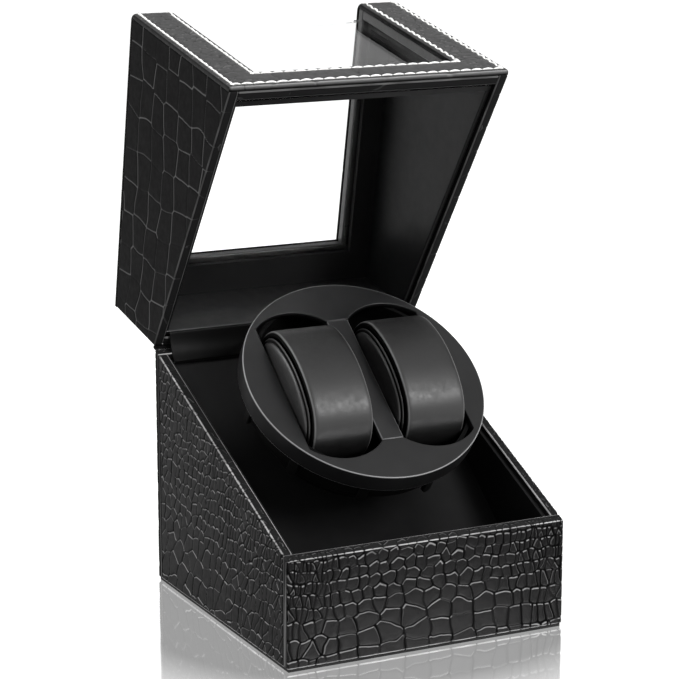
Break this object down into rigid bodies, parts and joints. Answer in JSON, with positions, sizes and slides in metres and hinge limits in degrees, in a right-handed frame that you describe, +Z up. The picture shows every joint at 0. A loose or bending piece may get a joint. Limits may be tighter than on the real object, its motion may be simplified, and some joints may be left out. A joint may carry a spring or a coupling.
{
  "type": "watch winder box",
  "caption": "Leather-wrapped box with a hinged windowed lid, a sloping deck and a motor-driven tilted drum that turns watch pillows to keep automatic watches wound.",
  "frame": {"origin": "on the ground under the middle of the base box", "axes": "+X to the right seen from the front, +Y to the back where the hinges are, +Z up"},
  "size_m": [0.152, 0.2164, 0.2969],
  "materials": {
    "embossed_leather": "embossed scales, satin black",
    "trim_leather": "fine grain, satin black",
    "lining": "smooth satin black",
    "board": "raw fibre board",
    "base_felt": "short felt pile",
    "clear_pane": "polished clear acrylic",
    "drum_plastic": "fine moulded satin black",
    "bridge_plastic": "satin black",
    "pillow_leather": "soft smooth black",
    "foam": "closed-cell foam",
    "steel": "nickel plated",
    "brass": "turned",
    "gear_plastic": "moulded ivory",
    "control_plastic": "moulded black",
    "circuit_board": "solder mask",
    "lead_sheath": "smooth"
  },
  "bodies": {
    "base": {"front_wall": "embossed_leather", "back_wall": "embossed_leather", "left_wall": "embossed_leather", "right_wall": "embossed_leather", "bottom_board": "board", "base_sheet": "base_felt", "front_liner": "lining", "back_liner": "lining", "left_liner": "lining", "right_liner": "lining", "deck_panel": "lining", "deck_cleats": "board", "deck_bush": "brass", "gear_plate": "gear_plastic", "gear_plate_standoffs": "gear_plastic", "gear_plate_screws": "steel", "idler_axle": "steel", "motor_can": "steel", "rear_plate": "control_plastic", "power_socket": "control_plastic", "mode_switch": "control_plastic", "control_board": "circuit_board", "board_standoffs": "gear_plastic", "board_parts": "control_plastic", "inner_leads": "lead_sheath", "hinge_base_leaves": "steel", "hinge_pins": "steel", "back_wall_screws": "steel", "hinge_strip": "lining"},
    "lid": {"lid_left_wall": "embossed_leather", "lid_right_wall": "embossed_leather", "lid_back_wall": "embossed_leather", "lid_front_frame": "trim_leather", "lid_top_frame": "trim_leather", "stitched_trim": "trim_leather", "top_pane": "clear_pane", "front_pane": "clear_pane", "lid_inner_frame": "lining", "lid_left_liner": "lining", "lid_right_liner": "lining", "lid_back_liner": "lining", "hinge_lid_leaves": "steel", "hinge_lid_screws": "steel"},
    "drum": {"drum_face": "drum_plastic", "drum_bridge": "bridge_plastic", "drum_bowl": "drum_plastic", "drum_hub": "drum_plastic", "hub_screws": "steel", "drum_shaft": "steel", "retaining_ring": "steel", "output_gear": "gear_plastic"},
    "idler": {"idler_gear": "gear_plastic"},
    "rotor": {"motor_pinion": "brass"},
    "left_pillow": {"left_pillow_band": "pillow_leather", "left_pillow_core": "foam", "left_pillow_pads": "pillow_leather"},
    "right_pillow": {"right_pillow_band": "pillow_leather", "right_pillow_core": "foam", "right_pillow_pads": "pillow_leather"},
    "knob": {"mode_knob": "control_plastic"}
  },
  "joints": [
    {"name": "lid_hinge", "type": "hinge", "parent": "base", "child": "lid", "pos_m": [0, 0.081, 0.1258], "axis": [-1, 0, 0], "range_deg": [-78.57, 0], "deforming": ["hinge_strip"]},
    {"name": "drum_spin", "type": "hinge", "parent": "base", "child": "drum", "pos_m": [0, -0.01124, 0.12121], "axis": [0, -0.6086, 0.7935], "continuous": true},
    {"name": "idler_spin", "type": "hinge", "parent": "base", "child": "idler", "pos_m": [0.032, 0.02528, 0.07361], "axis": [0, -0.6086, 0.7935], "continuous": true},
    {"name": "motor_spin", "type": "hinge", "parent": "base", "child": "rotor", "pos_m": [0.032, 0.00793, 0.05022], "axis": [0, -0.6086, 0.7935], "continuous": true},
    {"name": "left_pillow_lift", "type": "slide", "parent": "drum", "child": "left_pillow", "axis": [0, -0.6086, 0.7935], "range_m": [0, 0.06]},
    {"name": "right_pillow_lift", "type": "slide", "parent": "drum", "child": "right_pillow", "axis": [0, -0.6086, 0.7935], "range_m": [0, 0.06]},
    {"name": "mode_knob_turn", "type": "hinge", "parent": "base", "child": "knob", "pos_m": [0.012, 0.082, 0.034], "axis": [0, 1, 0], "range_deg": [0, 240]}
  ],
  "couplings": [
    {"joint": "idler_spin", "follows": "drum_spin", "ratio": -3},
    {"joint": "motor_spin", "follows": "drum_spin", "ratio": 7.5}
  ]
}
